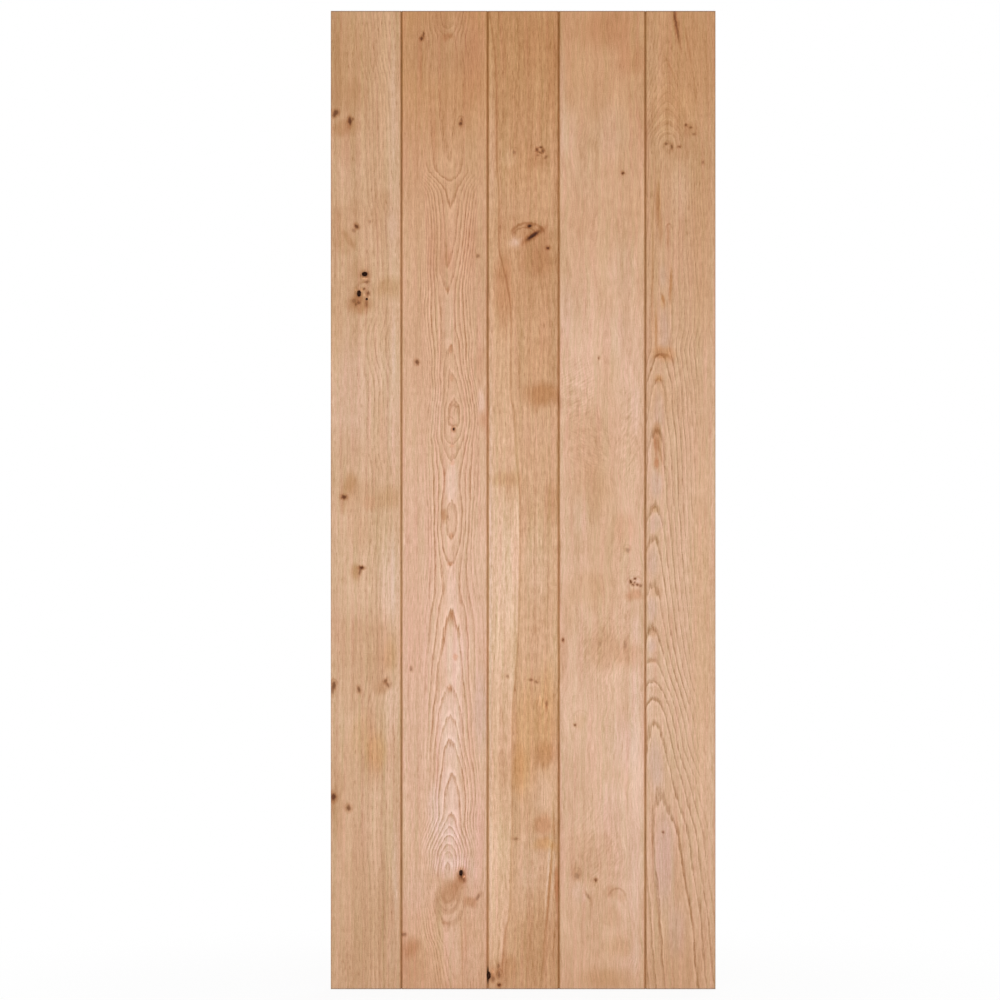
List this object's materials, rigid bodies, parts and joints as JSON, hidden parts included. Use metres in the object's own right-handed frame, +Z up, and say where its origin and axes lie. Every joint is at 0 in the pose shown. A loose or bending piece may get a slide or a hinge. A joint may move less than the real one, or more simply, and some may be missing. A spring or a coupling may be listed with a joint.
{
  "type": "ledged plank door leaf",
  "caption": "Tall oak plank door leaf: upright tongue-and-groove boards with V joints on the front, held by chamfered ledges screwed and plugged on the back.",
  "frame": {"origin": "middle of the bottom edge of the leaf, halfway between the front face of the boards and the back face of the ledges", "axes": "+X across the leaf to the right as seen from the front, +Y from the front face to the ledges at the back, +Z up the leaf"},
  "size_m": [0.779, 0.042, 1.981],
  "materials": {
    "left_board_oak": "planed and sanded, unfinished, knotty",
    "second_board_oak": "planed and sanded, unfinished, flat-sawn",
    "middle_board_oak": "planed and sanded, unfinished, with a pale sapwood band",
    "fourth_board_oak": "planed and sanded, unfinished, finely figured",
    "right_board_oak": "planed and sanded, unfinished, flat-sawn",
    "ledge_oak": "planed and sanded, unfinished",
    "plug_oak": "sanded flush, unfinished",
    "screw_steel": "yellow zinc plated"
  },
  "bodies": {
    "root": {"left_board": "left_board_oak", "second_board": "second_board_oak", "middle_board": "middle_board_oak", "fourth_board": "fourth_board_oak", "right_board": "right_board_oak", "top_ledge": "ledge_oak", "middle_ledge": "ledge_oak", "bottom_ledge": "ledge_oak", "top_ledge_screws": "screw_steel", "middle_ledge_screws": "screw_steel", "bottom_ledge_screws": "screw_steel", "top_ledge_plugs": "plug_oak", "middle_ledge_plugs": "plug_oak", "bottom_ledge_plugs": "plug_oak"}
  },
  "joints": []
}
